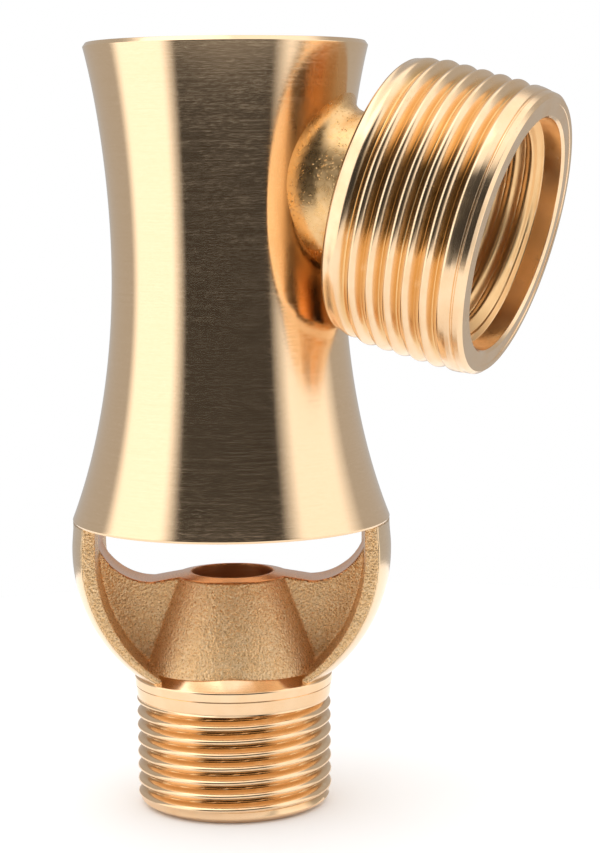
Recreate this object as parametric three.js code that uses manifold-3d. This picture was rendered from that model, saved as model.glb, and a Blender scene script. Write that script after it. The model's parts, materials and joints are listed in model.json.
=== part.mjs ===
// Brass water pressure regulator with a swivel inlet collar, an open air-gap yoke
// and a male threaded outlet. Millimetres, +Z up, standing on its outlet end.
// The body axis is vertical; the inlet port leaves the body sideways and slopes down.
import * as THREE from "three";
import { mergeVertices } from "three/addons/utils/BufferGeometryUtils.js";
import Module from "manifold-3d";

const wasm = await Module();
wasm.setup();

// ---------------------------------------------------------------- driving sizes
const HEIGHT = 102.4; // outlet end to top rim
const AXIS_X = -11.93; // body axis in the part's own frame, whose origin is the
const AXIS_Y = 5.24; //  centre of the bounding box's bottom face
const GAP = 0.3; // running gap between neighbouring pieces

// outlet thread, G 3/4 form
const THREAD_CREST_R = 13.22;
const THREAD_ROOT_R = 12.1;
const THREAD_PITCH = 1.814;
const THREAD_TOP_Z = 15.2;
const OUTLET_BORE_R = 9.9;
const OUTLET_LIP_R = 12.3;

// yoke
const COLLAR_R = 13.4;
const COLLAR_TOP_Z = 17.95;
const YOKE_R = 21.5; // outer radius of arms and of the round shoulder below them
const YOKE_BALL_Z = 35; // centre height of that round shoulder
const YOKE_TOP_Z = 38.9;
const ARM_HALF_WIDTH = 8.7; // along Y
const WEB_HALF_THICK = 3.0;
const POCKET_R = 17.8;
const HUB_TOP_Z = 31.8;
const HUB_TOP_R = 7.95;
const HUB_FOOT_R = 12.4;
const HUB_BORE_R = 5.465;

// body sleeve
const WAIST_R = 15.53;
const FLANGE_R = 21.45;
const FLANGE_Z = 39.1;
const RIM_R = 18.85;
const CAP_BORE_R = 14.4;
const INLET_CHAMBER_R = 11.6;
const SPRING_CHAMBER_R = 12.6;
const PISTON_BORE_R = 14.6;

// inlet port
const PORT_Z = 88.36; // height where the port axis crosses the body axis
const PORT_AZIMUTH = -22.02; // degrees from +X, towards -Y
const PORT_DROP = 15.57; // degrees below horizontal
const NECK_R = 9.8; // journal of the swivel collar, and half height of the boss
const BOSS_HALF_WIDTH = 8.4;
const BOSS_END_S = 21.0;
const SPIGOT_R = 6.9;
const NECK_BORE_R = 5.0;
const RING_REAR_S = 22.35; // along the port axis, from the body axis
const RING_FACE_S = 41.75;
const RING_REAR_R = 18.35;
const RING_FACE_R = 18.35;
const RIDGE_R = 18.9;
const GROOVE_R = 17.95;
const FIRST_GROOVE_S = 25.7;
const LIP_GROOVE_S = 40.3;
const RING_MOUTH_R = 15.24;
const RIDGE_PITCH = 2.4;
const RIDGE_COUNT = 5;

// piston group
const STEM_R = 4.0;
const STEM_TOP_Z = 81.5;
const PISTON_R = 14.3;
const PISTON_Z = [47.4, 53.0];
const SEAT_FACE_Z = 84.0;
const SPRING_WIRE_R = 1.3;
const SPRING_MEAN_R = 9.7;
const SPRING_Z = [54.4, 72.7];
const SPRING_TURNS = 5;

// ---------------------------------------------------------------- helpers
const V2 = (x, y) => new THREE.Vector2(x, y);

function solid(geometry) {
  const g = geometry.clone();
  for (const n of Object.keys(g.attributes)) if (n !== "position") g.deleteAttribute(n);
  const m = mergeVertices(g, 1e-4);
  const src = m.index.array;
  const tri = [];
  for (let i = 0; i < src.length; i += 3)
    if (src[i] !== src[i + 1] && src[i + 1] !== src[i + 2] && src[i] !== src[i + 2])
      tri.push(src[i], src[i + 1], src[i + 2]);
  const make = (t) =>
    new wasm.Manifold(
      new wasm.Mesh({
        numProp: 3,
        vertProperties: new Float32Array(m.attributes.position.array),
        triVerts: new Uint32Array(t),
      }),
    );
  let s = make(tri);
  if (s.volume() < 0) {
    for (let i = 0; i < tri.length; i += 3) [tri[i + 1], tri[i + 2]] = [tri[i + 2], tri[i + 1]];
    s = make(tri);
  }
  return s;
}

function geometryOf(s) {
  const m = s.getMesh();
  const n = m.numProp;
  const pos = new Float32Array(m.numVert * 3);
  for (let i = 0; i < m.numVert; i++)
    pos.set(m.vertProperties.subarray(i * n, i * n + 3), i * 3);
  const g = new THREE.BufferGeometry();
  g.setAttribute("position", new THREE.BufferAttribute(pos, 3));
  g.setIndex(new THREE.BufferAttribute(new Uint32Array(m.triVerts), 1));
  g.computeVertexNormals();
  return g;
}

// Turned solid about +Z from [radius, height] pairs; closes on itself when it
// does not touch the axis at both ends.
function turned(pairs, seg = 32) {
  const p = pairs.map(([r, z]) => V2(r, z));
  const onAxis = pairs[0][0] === 0 && pairs[pairs.length - 1][0] === 0;
  if (!onAxis) p.push(p[0].clone());
  const g = new THREE.LatheGeometry(p, seg);
  g.rotateX(Math.PI / 2);
  return solid(g);
}

function cylinder(r, z0, z1, seg = 32) {
  return turned([[0, z0], [r, z0], [r, z1], [0, z1]], seg);
}

function block(x0, x1, y0, y1, z0, z1) {
  const g = new THREE.BoxGeometry(x1 - x0, y1 - y0, z1 - z0);
  g.translate((x0 + x1) / 2, (y0 + y1) / 2, (z0 + z1) / 2);
  return solid(g);
}

function prism(shape, z0, z1) {
  const g = new THREE.ExtrudeGeometry(shape, { depth: z1 - z0, bevelEnabled: false, curveSegments: 9 });
  g.translate(0, 0, z0);
  return solid(g);
}

function moved(s, matrix) {
  const g = geometryOf(s);
  g.applyMatrix4(matrix);
  return solid(g);
}

function oRing(meanR, wireR, z, seg = 20, side = 6) {
  const p = [];
  for (let i = 0; i < side; i++) {
    const a = (2 * Math.PI * i) / side;
    p.push([meanR + wireR * Math.cos(a), z + wireR * Math.sin(a)]);
  }
  return turned(p, seg);
}

function hexagon(acrossFlats, turn = 0) {
  const s = new THREE.Shape();
  const r = acrossFlats / Math.sqrt(3);
  for (let i = 0; i < 6; i++) {
    const a = (i * Math.PI) / 3 + turn;
    if (i === 0) s.moveTo(r * Math.cos(a), r * Math.sin(a));
    else s.lineTo(r * Math.cos(a), r * Math.sin(a));
  }
  s.closePath();
  return s;
}

function cRing(rIn, rOut, z0, z1, gapDeg, midDeg) {
  const h = ((gapDeg / 2) * Math.PI) / 180;
  const m = (midDeg * Math.PI) / 180;
  const s = new THREE.Shape();
  s.absarc(0, 0, rOut, m + h, m + 2 * Math.PI - h, false);
  s.absarc(0, 0, rIn, m + 2 * Math.PI - h, m + h, true);
  s.closePath();
  return prism(s, z0, z1);
}

function ringHole(rIn, rOut, z0, z1, seg = 32) {
  return turned([[rIn, z0], [rOut, z0], [rOut, z1], [rIn, z1]], seg);
}

// port frame: +Z of the local frame runs out along the port axis
const az = (PORT_AZIMUTH * Math.PI) / 180;
const drop = (PORT_DROP * Math.PI) / 180;
const portAxis = new THREE.Vector3(
  Math.cos(drop) * Math.cos(az),
  Math.cos(drop) * Math.sin(az),
  -Math.sin(drop),
);
const portTurn = new THREE.Quaternion().setFromUnitVectors(new THREE.Vector3(0, 0, 1), portAxis);
const portMatrix = new THREE.Matrix4().compose(
  new THREE.Vector3(0, 0, PORT_Z),
  portTurn,
  new THREE.Vector3(1, 1, 1),
);

// ---------------------------------------------------------------- scene graph
const group = new THREE.Group();
group.name = "water_pressure_regulator";
group.position.set(AXIS_X, AXIS_Y, 0);
const port = new THREE.Group(); // everything turned about the port axis
port.quaternion.copy(portTurn);
port.position.set(0, 0, PORT_Z);
group.add(port);

const finish = {
  brass: { color: 0xb98a5e, roughness: 0.24, metalness: 1 },
  brushed: { color: 0xb08d70, roughness: 0.34, metalness: 1 },
  steel: { color: 0xb9bcc0, roughness: 0.3, metalness: 1 },
  spring: { color: 0x8c9096, roughness: 0.35, metalness: 1 },
  rubber: { color: 0x1c1c1e, roughness: 0.8, metalness: 0 },
  acetal: { color: 0xe9e6dc, roughness: 0.45, metalness: 0 },
  ptfe: { color: 0xf2f2ee, roughness: 0.5, metalness: 0 },
  washer: { color: 0x2c2f33, roughness: 0.75, metalness: 0 },
  sinter: { color: 0x8e7350, roughness: 0.85, metalness: 0.6 },
};

function add(name, s, look, parent = group) {
  const mesh = new THREE.Mesh(geometryOf(s), new THREE.MeshStandardMaterial(finish[look]));
  mesh.name = name;
  parent.add(mesh);
  return mesh;
}

// ---------------------------------------------------------------- outlet yoke
{
  const outer = [[0, 0], [OUTLET_LIP_R - 0.35, 0], [OUTLET_LIP_R, 0.35]];
  for (let k = 7; k >= 0; k--) {
    const c = THREAD_TOP_Z - 1.0 - k * THREAD_PITCH;
    outer.push([THREAD_CREST_R, c - 0.32], [THREAD_CREST_R, c + 0.32]);
    if (k > 0) outer.push([THREAD_ROOT_R, c + THREAD_PITCH / 2]);
  }
  outer.push([THREAD_ROOT_R + 0.1, THREAD_TOP_Z - 0.3]);
  outer.push([COLLAR_R - 0.25, THREAD_TOP_Z], [COLLAR_R, THREAD_TOP_Z + 1.4], [COLLAR_R, COLLAR_TOP_Z]);
  for (let i = 0; i <= 8; i++) {
    const a0 = Math.asin((COLLAR_TOP_Z - YOKE_BALL_Z) / YOKE_R);
    const a = a0 * (1 - i / 8);
    outer.push([YOKE_R * Math.cos(a), YOKE_BALL_Z + YOKE_R * Math.sin(a)]);
  }
  outer.push([YOKE_R, YOKE_TOP_Z], [0, YOKE_TOP_Z]);
  let s = turned(outer, 32);

  // front and back are cut flat above the collar
  for (const side of [-1, 1]) {
    const y0 = side > 0 ? ARM_HALF_WIDTH : -30;
    const y1 = side > 0 ? 30 : -ARM_HALF_WIDTH;
    s = s.subtract(block(-40, 40, y0, y1, COLLAR_TOP_Z, 60));
  }
  // pockets either side of the web
  const x0 = Math.sqrt(POCKET_R ** 2 - (YOKE_BALL_Z - COLLAR_TOP_Z) ** 2);
  const pocket = new THREE.Shape();
  const base = Math.asin((COLLAR_TOP_Z - YOKE_BALL_Z) / POCKET_R);
  pocket.moveTo(-x0, COLLAR_TOP_Z);
  pocket.lineTo(x0, COLLAR_TOP_Z);
  for (let i = 1; i <= 9; i++) {
    const a = base * (1 - i / 9);
    pocket.lineTo(POCKET_R * Math.cos(a), YOKE_BALL_Z + POCKET_R * Math.sin(a));
  }
  pocket.lineTo(POCKET_R, 50);
  pocket.lineTo(-POCKET_R, 50);
  for (let i = 0; i < 9; i++) {
    const a = (base * i) / 9;
    pocket.lineTo(-POCKET_R * Math.cos(a), YOKE_BALL_Z + POCKET_R * Math.sin(a));
  }
  pocket.closePath();
  const stand = new THREE.Matrix4().makeRotationX(Math.PI / 2); // shape's Y becomes Z
  const front = moved(prism(pocket, WEB_HALF_THICK, 30), stand); // towards -Y
  const back = moved(prism(pocket, -30, -WEB_HALF_THICK), stand); // towards +Y
  s = s.subtract(front).subtract(back);

  // conical hub
  s = s.add(
    turned([[0, 16.5], [HUB_FOOT_R, 16.5], [HUB_FOOT_R, COLLAR_TOP_Z], [HUB_TOP_R, 30.5], [HUB_TOP_R - 0.2, 33], [0, 33]], 28),
  );
  // turned top of hub, web and arm roots
  const top = [[0, HUB_TOP_Z], [HUB_BORE_R, HUB_TOP_Z], [11.0, 30.8]];
  for (let i = 1; i <= 6; i++) {
    const a = -Math.PI / 2 + (i / 6) * Math.asin(7.0 / 7.6);
    top.push([11.0 + 7.6 * Math.cos(a), 38.4 + 7.6 * Math.sin(a)]);
  }
  top.push([18.0, 60], [0, 60]);
  s = s.subtract(turned(top, 32));
  // spigot that screws into the body
  s = s.add(turned([[15.6, 38.7], [19.3, 38.7], [19.3, 39.5], [18.0, 39.5], [18.0, 42.4], [15.6, 42.4]], 32));
  // water way
  s = s.subtract(
    turned([[0, -5], [OUTLET_BORE_R, -5], [OUTLET_BORE_R, 14], [HUB_BORE_R, 20], [HUB_BORE_R, 45], [0, 45]], 24),
  );
  add("outlet_yoke", s, "brass");
}

// ---------------------------------------------------------------- body sleeve
const sleeveOuter = [
  [FLANGE_R - 0.4, FLANGE_Z], [FLANGE_R, FLANGE_Z + 0.35], [20.58, 41.3], [19.26, 45.4],
  [18.22, 49.5], [17.32, 53.5], [16.62, 57.6], [16.0, 62.8], [WAIST_R + 0.07, 69.5],
  [WAIST_R, 75.7], [15.85, 81.6], [16.59, 89.5], [17.5, 95.4],
  [18.3, 99.9], [RIM_R - 0.02, 101.8], [RIM_R - 0.55, HEIGHT],
];
{
  const p = [
    ...sleeveOuter,
    [CAP_BORE_R + 0.5, HEIGHT], [CAP_BORE_R, HEIGHT - 0.5],
    [CAP_BORE_R, 92.6], [INLET_CHAMBER_R, 92.6],
    [INLET_CHAMBER_R, 77.3], [SPRING_CHAMBER_R, 77.3],
    [SPRING_CHAMBER_R, 72.8], [13.6, 72.8], [13.6, 71.4], [SPRING_CHAMBER_R, 71.4],
    [SPRING_CHAMBER_R, 57.2], [PISTON_BORE_R, 57.2],
    [PISTON_BORE_R, 44.4], [16.2, 44.4], [16.2, 42.8], [18.3, 42.8],
    [18.3, 39.8], [19.6, 39.8], [19.6, FLANGE_Z],
  ];
  let s = turned(p, 32);
  s = s.subtract(moved(cylinder(SPIGOT_R + GAP, 8, 24, 20), portMatrix)); // inlet port
  const vent = new THREE.Matrix4().makeTranslation(0, 0, 63).multiply(new THREE.Matrix4().makeRotationX(-Math.PI / 2));
  s = s.subtract(moved(cylinder(1.7, 8, 24, 12), vent)); // breather, at the back
  add("body_sleeve", s, "brushed");
  add("vent_filter", moved(cylinder(1.4, 13.2, 15.6, 12), vent), "sinter");
}

// ---------------------------------------------------------------- top cap and adjuster
add(
  "top_cap",
  turned(
    [
      [3.3, 93.9], [3.3, 94.9], [4.7, 94.9], [4.7, 96.3], [3.3, 96.3], [3.3, 97.9],
      [13.8, 97.9], [14.1, 97.6], [14.1, 96.4], [12.4, 96.4], [12.4, 94.4], [14.1, 94.4],
      [14.1, 92.9], [9.2, 92.9], [9.2, 88.6], [7.2, 88.6], [7.2, 93.9],
    ],
    24,
  )
    .subtract(moved(cylinder(1.3, 96.2, 110, 12), new THREE.Matrix4().makeTranslation(10, 0, 0)))
    .subtract(moved(cylinder(1.3, 96.2, 110, 12), new THREE.Matrix4().makeTranslation(-10, 0, 0))),
  "brass",
);
add("cap_o_ring", oRing(13.4, 0.8, 95.4), "rubber");
add("screw_o_ring", oRing(4.0, 0.5, 95.6, 16, 6), "rubber");
add(
  "adjusting_screw",
  turned([[0, 90.0], [4.4, 90.0], [4.4, 91.0], [3.0, 91.0], [3.0, 101.1], [2.6, 101.6], [0, 101.6]], 20)
    .subtract(prism(hexagon(3.0), 99.4, 104)),
  "steel",
);
add(
  "lock_nut",
  prism(hexagon(10.0, Math.PI / 6), 98.2, 101.0).subtract(cylinder(3.3, 90, 110, 24)),
  "steel",
);

// ---------------------------------------------------------------- seat group
add(
  "seat_carrier",
  turned(
    [
      [0, 88.9], [1.6, 88.9], [1.6, 86.7], [5.5, 86.7], [5.5, 84.6], [6.6, 84.6], [6.9, 84.9],
      [6.9, 92.4], [4.7, 92.4], [4.7, 92.1], [5.5, 92.1], [5.5, 91.2], [4.7, 91.2], [4.7, 89.7], [0, 89.7],
    ],
    20,
  ),
  "brass",
);
add("carrier_retaining_ring", cRing(3.45, 5.3, 91.35, 91.95, 40, 90), "spring");
add("seat_disc", turned([[2.5, SEAT_FACE_Z], [5.2, SEAT_FACE_Z], [5.2, 86.4], [1.6, 86.4], [1.6, 85.0]], 20), "rubber");
add(
  "seat_screw",
  turned([[0, 84.2], [2.15, 84.2], [1.3, 85.1], [1.3, 88.6], [0, 88.6]], 14)
    .subtract(block(-3, 3, -0.35, 0.35, 84.0, 84.7)),
  "steel",
);

// ---------------------------------------------------------------- piston group
add(
  "piston_stem",
  turned(
    [
      [2.3, 44.8], [3.4, 44.8], [3.4, 53.3], [5.6, 53.3], [5.6, 54.6], [STEM_R, 54.6],
      [STEM_R, STEM_TOP_Z - 0.9], [3.4, STEM_TOP_Z], [2.9, STEM_TOP_Z], [2.3, STEM_TOP_Z - 0.6],
    ],
    20,
  ),
  "steel",
);
add(
  "piston_head",
  turned(
    [
      [3.7, PISTON_Z[0]], [PISTON_R - 0.4, PISTON_Z[0]], [PISTON_R, PISTON_Z[0] + 0.4], [PISTON_R, 49.0],
      [12.2, 49.0], [12.2, 51.4], [PISTON_R, 51.4], [PISTON_R, PISTON_Z[1]], [3.7, PISTON_Z[1]],
    ],
    24,
  ),
  "acetal",
);
add("piston_o_ring", oRing(13.4, 0.95, 50.2), "rubber");
add("stem_nut", prism(hexagon(10.0), 45.3, 47.1).subtract(cylinder(3.7, 40, 50, 24)), "steel");
add("spring_washer", ringHole(6.0, 12.1, 53.3, 54.1, 24), "steel");
{
  const pts = [];
  const n = SPRING_TURNS * 11;
  for (let i = 0; i <= n; i++) {
    const t = i / n;
    const a = t * SPRING_TURNS * 2 * Math.PI;
    // closed coil at each end
    const z = SPRING_Z[0] + SPRING_WIRE_R + t * (SPRING_Z[1] - SPRING_Z[0] - 2 * SPRING_WIRE_R);
    pts.push(new THREE.Vector3(SPRING_MEAN_R * Math.cos(a), SPRING_MEAN_R * Math.sin(a), z));
  }
  const section = new THREE.Shape();
  for (let i = 0; i < 6; i++) {
    const a = (i / 6) * 2 * Math.PI;
    const q = [SPRING_WIRE_R * Math.cos(a), SPRING_WIRE_R * Math.sin(a)];
    if (i === 0) section.moveTo(...q);
    else section.lineTo(...q);
  }
  section.closePath();
  const path = new THREE.CatmullRomCurve3(pts);
  add("main_spring", solid(new THREE.ExtrudeGeometry(section, { steps: n, bevelEnabled: false, extrudePath: path })), "spring");
}

// ---------------------------------------------------------------- stem guide
add(
  "guide_plate",
  turned(
    [
      [4.3, 73.0], [12.3, 73.0], [12.3, 74.1], [10.7, 74.1], [10.7, 75.9], [12.3, 75.9], [12.3, 77.0],
      [4.3, 77.0], [4.3, 75.9], [6.0, 75.9], [6.0, 74.1], [4.3, 74.1],
    ],
    24,
  ),
  "brass",
);
add("guide_plate_o_ring", oRing(11.6, 0.7, 75.0, 20, 6), "rubber");
add("stem_o_ring", oRing(5.1, 0.65, 75.0, 16, 6), "rubber");
add("guide_plate_circlip", cRing(11.7, 13.35, 71.6, 72.6, 30, 90), "spring");

// ---------------------------------------------------------------- outlet nozzle
add(
  "nozzle_plate",
  turned(
    [
      [3.0, 38.4], [4.4, 38.4], [5.4, 41.2], [15.3, 41.2], [15.3, 42.7], [15.9, 42.7], [15.9, 44.1],
      [14.3, 44.1], [14.3, 44.8], [12.9, 44.8], [12.9, 46.3], [14.3, 46.3], [14.3, 47.1], [10.6, 47.1],
      [10.6, 43.4], [6.0, 43.4], [3.0, 41.4],
    ],
    24,
  ),
  "brass",
);
add("nozzle_o_ring", oRing(13.7, 0.6, 45.55, 20, 6), "rubber");

// ---------------------------------------------------------------- inlet neck and swivel collar
{
  let s = moved(
    turned(
      [
        [NECK_BORE_R, 8], [SPIGOT_R, 8], [SPIGOT_R, BOSS_END_S], [NECK_R, BOSS_END_S], [NECK_R, 26.2], [12.7, 26.2],
        [12.7, 28.0], [7.0, 28.0], [NECK_BORE_R, 25.5],
      ],
      24,
    ),
    portMatrix,
  );
  // cast boss, taller than it is wide, between the sleeve and the journal
  const across = new THREE.Vector3(0, 0, 1).cross(portAxis).normalize();
  const bossMatrix = new THREE.Matrix4()
    .makeBasis(across.clone().multiplyScalar(BOSS_HALF_WIDTH / NECK_R), portAxis.clone().cross(across), portAxis)
    .setPosition(0, 0, PORT_Z);
  s = s.add(moved(turned([[5.6, 12], [NECK_R, 12], [NECK_R, BOSS_END_S + 0.2], [6.0, BOSS_END_S + 0.2]], 24), bossMatrix));
  // saddle that follows the sleeve's outside, and the spigot's end flush with the chamber
  const saddle = turned(
    [[0, 60], ...sleeveOuter.filter((q) => q[1] > 60 && q[1] < 101).map(([r, z]) => [r + GAP, z]), [18.9, 104], [0, 104]],
    32,
  );
  const spigotZone = moved(cylinder(SPIGOT_R + 0.02, 0, 20, 24), portMatrix);
  s = s.subtract(saddle.subtract(spigotZone));
  s = s.subtract(cylinder(INLET_CHAMBER_R + GAP, 70, 110, 28));
  add("inlet_neck", s, "brass");
}
{
  const p = [[10.1, RING_REAR_S], [RING_REAR_R - 0.9, RING_REAR_S], [RING_REAR_R, RING_REAR_S + 0.9]];
  p.push([RING_REAR_R + 0.25, FIRST_GROOVE_S - 0.8], [GROOVE_R, FIRST_GROOVE_S]);
  for (let k = 0; k < RIDGE_COUNT; k++) {
    const c = FIRST_GROOVE_S + RIDGE_PITCH * (k + 0.5);
    p.push([RIDGE_R, c - 0.4], [RIDGE_R, c + 0.4], [GROOVE_R, c + RIDGE_PITCH / 2]);
  }
  p.push([RIDGE_R - 0.1, FIRST_GROOVE_S + RIDGE_PITCH * RIDGE_COUNT + 0.8], [RIDGE_R - 0.3, LIP_GROOVE_S]);
  p.push([RING_FACE_R, RING_FACE_S - 0.5], [RING_FACE_R - 0.4, RING_FACE_S]);
  p.push([RING_MOUTH_R, RING_FACE_S], [RING_MOUTH_R - 0.1, 38.9]);
  for (let k = 0; k < 3; k++) {
    const c = 37.7 - 2.2 * k;
    p.push([13.5, c + 0.35], [13.5, c - 0.35], [14.5, c - 1.1]);
  }
  p.push([14.5, 31.2], [13.3, 30.8], [13.3, 24.8], [10.1, 24.8]);
  add("swivel_collar", turned(p, 32), "brass", port);
}
add("collar_slip_washer", ringHole(10.1, 12.9, 25.1, 25.9, 24), "ptfe", port);
add("hose_washer", ringHole(8.2, 12.8, 28.3, 30.6, 24), "washer", port);
add(
  "strainer_screen",
  turned(
    [[5.6, 28.3], [7.9, 28.3], [7.9, 29.1], [6.4, 29.1], [6.0, 30.6], [4.6, 32.0], [2.4, 32.9], [0, 33.2],
      [0, 32.5], [2.2, 32.2], [4.1, 31.4], [5.3, 30.2]].reverse(),
    20,
  ),
  "steel",
  port,
);

export default group;
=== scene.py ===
import bpy
import json
import math
import numpy as np
from mathutils import Matrix, Vector


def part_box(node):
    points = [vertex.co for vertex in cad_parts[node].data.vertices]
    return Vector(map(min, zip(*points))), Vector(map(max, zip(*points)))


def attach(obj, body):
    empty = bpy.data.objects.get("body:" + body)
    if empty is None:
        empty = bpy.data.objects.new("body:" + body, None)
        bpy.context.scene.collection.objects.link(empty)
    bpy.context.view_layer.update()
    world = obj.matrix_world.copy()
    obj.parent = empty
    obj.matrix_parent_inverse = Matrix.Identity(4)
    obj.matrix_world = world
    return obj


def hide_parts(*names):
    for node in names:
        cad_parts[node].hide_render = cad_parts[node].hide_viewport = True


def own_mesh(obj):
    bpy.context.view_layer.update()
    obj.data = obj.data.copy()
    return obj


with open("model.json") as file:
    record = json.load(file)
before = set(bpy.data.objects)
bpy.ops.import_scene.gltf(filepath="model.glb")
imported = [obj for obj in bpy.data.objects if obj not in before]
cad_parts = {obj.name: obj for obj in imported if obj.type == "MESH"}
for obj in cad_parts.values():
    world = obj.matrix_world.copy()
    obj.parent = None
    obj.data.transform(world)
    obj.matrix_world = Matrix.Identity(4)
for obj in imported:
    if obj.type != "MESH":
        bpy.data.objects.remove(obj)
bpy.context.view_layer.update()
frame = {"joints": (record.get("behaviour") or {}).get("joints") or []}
JOINTS = {j["name"]: j for j in frame["joints"]}
TAU = 2 * math.pi

# ------------------------------------------------------------------ frames
# body frame: millimetres, Z up the body axis, origin under it on the resting face
_lo, _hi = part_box("body_sleeve")
AX, AY = (_lo.x + _hi.x) / 2, (_lo.y + _hi.y) / 2
MM = Matrix.Scale(0.001, 4)
BODY = Matrix.Translation((AX, AY, 0))
PORT_AXIS = Vector(JOINTS["collar_spin"]["axis"]).normalized()
PORT_POS = Vector(JOINTS["collar_spin"]["pos_m"])
_e1 = PORT_AXIS.cross(Vector((0, 0, 1))).normalized()
_e2 = PORT_AXIS.cross(_e1)
PORT = Matrix.Translation(PORT_POS) @ Matrix((_e1, _e2, PORT_AXIS)).transposed().to_4x4()
TOP_Z = _hi.z * 1000

# ------------------------------------------------------------------ camera
scene = bpy.context.scene
scene.view_settings.view_transform = "Standard"
cam_data = bpy.data.cameras.new("camera")
cam = bpy.data.objects.new("camera", cam_data)
scene.collection.objects.link(cam)
scene.camera = cam
cam_data.sensor_width = 36
cam_data.lens = 96.0
cam_data.clip_start, cam_data.clip_end = 0.01, 20
_pitch, _roll = math.radians(6.95), math.radians(-0.55)
_F = Vector((0, math.cos(_pitch), -math.sin(_pitch)))
_R0, _U0 = Vector((1, 0, 0)), Vector((0, math.sin(_pitch), math.cos(_pitch)))
_R = _R0 * math.cos(_roll) + _U0 * math.sin(_roll)
_U = -_R0 * math.sin(_roll) + _U0 * math.cos(_roll)
_m = Matrix((_R, _U, -_F)).transposed().to_4x4()
_m.translation = Vector((AX + 0.00935, AY - 0.3035, 0.0883))
cam.matrix_world = _m

# ------------------------------------------------------------------ mesh helpers


def rounded(pts, closed=True, n=4, sup=0.15):
    """Profile of (r, z, fillet) corners -> (r, z) points with round corners and a support point either side."""
    out = []
    N = len(pts)
    for i, q in enumerate(pts):
        r, z = q[0], q[1]
        f = q[2] if len(q) > 2 else 0.1
        p = np.array([r, z], float)
        if (not closed and i in (0, N - 1)) or f <= 0:
            out.append(p)
            continue
        a = np.array(pts[i - 1][:2], float)
        b = np.array(pts[(i + 1) % N][:2], float)
        u, v = a - p, b - p
        lu, lv = np.linalg.norm(u), np.linalg.norm(v)
        u, v = u / lu, v / lv
        ang = math.acos(max(-1, min(1, float(u @ v))))
        if ang > math.pi - 0.03:
            out.append(p)
            continue
        t = min(f / math.tan(ang / 2), 0.42 * lu, 0.42 * lv)
        f = t * math.tan(ang / 2)
        A, B = p + u * t, p + v * t
        bis = u + v
        bis /= np.linalg.norm(bis)
        c = p + bis * (f / math.sin(ang / 2))
        a0 = math.atan2(*(A - c)[::-1])
        a1 = math.atan2(*(B - c)[::-1])
        d = (a1 - a0 + math.pi) % TAU - math.pi
        if lu - t > 2.5 * sup:
            out.append(A + u * sup)
        for k in range(n + 1):
            w = a0 + d * k / n
            out.append(c + f * np.array([math.cos(w), math.sin(w)]))
        if lv - t > 2.5 * sup:
            out.append(B + v * sup)
    return np.array(out)


def densify(p, step, closed=True):
    """Extra points along long straight runs."""
    out = []
    N = len(p)
    for i in range(N if closed else N - 1):
        a, b = p[i], p[(i + 1) % N]
        k = max(1, int(math.ceil(np.linalg.norm(b - a) / step)))
        for j in range(k):
            out.append(a + (b - a) * j / k)
    if not closed:
        out.append(p[-1])
    return np.array(out)


def make(name, verts, faces, mats, place=BODY, sharp=38.0, zones=None, keep=True):
    me = bpy.data.meshes.new(name)
    me.from_pydata([tuple(v) for v in (np.asarray(verts) * 0.001)], [], [tuple(f) for f in faces])
    me.update()
    for m in mats if isinstance(mats, (list, tuple)) else [mats]:
        me.materials.append(m)
    if signed_volume(me) < 0:
        me.flip_normals()
    me.shade_smooth()
    if sharp:
        me.set_sharp_from_angle(angle=math.radians(sharp))
    for zn, zv in (zones or {}).items():
        at = me.attributes.new(zn, "FLOAT", "POINT")
        at.data.foreach_set("value", np.asarray(zv, np.float32))
    ob = bpy.data.objects.new(name, me)
    scene.collection.objects.link(ob)
    ob.matrix_world = place
    return ob


def signed_volume(me):
    me.calc_loop_triangles()
    n = len(me.loop_triangles)
    t = np.zeros(n * 3, np.int32)
    me.loop_triangles.foreach_get("vertices", t)
    co = np.zeros(len(me.vertices) * 3)
    me.vertices.foreach_get("co", co)
    p = co.reshape(-1, 3)[t.reshape(-1, 3)]
    return float(np.einsum("ij,ij->i", p[:, 0], np.cross(p[:, 1], p[:, 2])).sum())


def sweep(R, Z, closed=True):
    """Rows of radii and heights, each (rows, seg), turned about Z. Rows of zero radius become one vertex."""
    R, Z = np.asarray(R, float), np.asarray(Z, float)
    n, seg = R.shape
    th = np.arange(seg) * TAU / seg
    verts, first, pole = [], [], []
    for i in range(n):
        first.append(len(verts))
        if R[i].max() < 1e-6:
            pole.append(True)
            verts.append((0.0, 0.0, Z[i].mean()))
        else:
            pole.append(False)
            verts.extend(zip(R[i] * np.cos(th), R[i] * np.sin(th), Z[i]))
    faces = []
    for i in range(n if closed else n - 1):
        j = (i + 1) % n
        a, b = first[i], first[j]
        if pole[i] and pole[j]:
            continue
        for k in range(seg):
            k2 = (k + 1) % seg
            if pole[i]:
                faces.append((a, b + k2, b + k))
            elif pole[j]:
                faces.append((a + k, a + k2, b))
            else:
                faces.append((a + k, a + k2, b + k2, b + k))
    return np.array(verts), faces


def lathe(name, pts, mat, place=BODY, seg=96, closed=None, n=4, sup=0.15, step=None, warp=None, sharp=38.0, zones=None):
    if closed is None:
        closed = not (pts[0][0] == 0 and pts[-1][0] == 0)
    p = rounded(pts, closed, n, sup)
    if step:
        p = densify(p, step, closed)
    R = np.repeat(p[:, 0:1], seg, 1)
    Z = np.repeat(p[:, 1:2], seg, 1)
    if warp:
        R, Z = warp(R, Z, np.arange(seg) * TAU / seg)
    v, f = sweep(R, Z, closed)
    return make(name, v, f, mat, place, sharp, zones(v) if zones else None)


def smooth(x, a, b):
    t = np.clip((x - a) / (b - a), 0, 1)
    return t * t * (3 - 2 * t)


def smin(a, b, k):
    h = np.clip(0.5 + 0.5 * (b - a) / k, 0, 1)
    return b + (a - b) * h - k * h * (1 - h)


def smax(a, b, k):
    return -smin(-a, -b, k)


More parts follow.
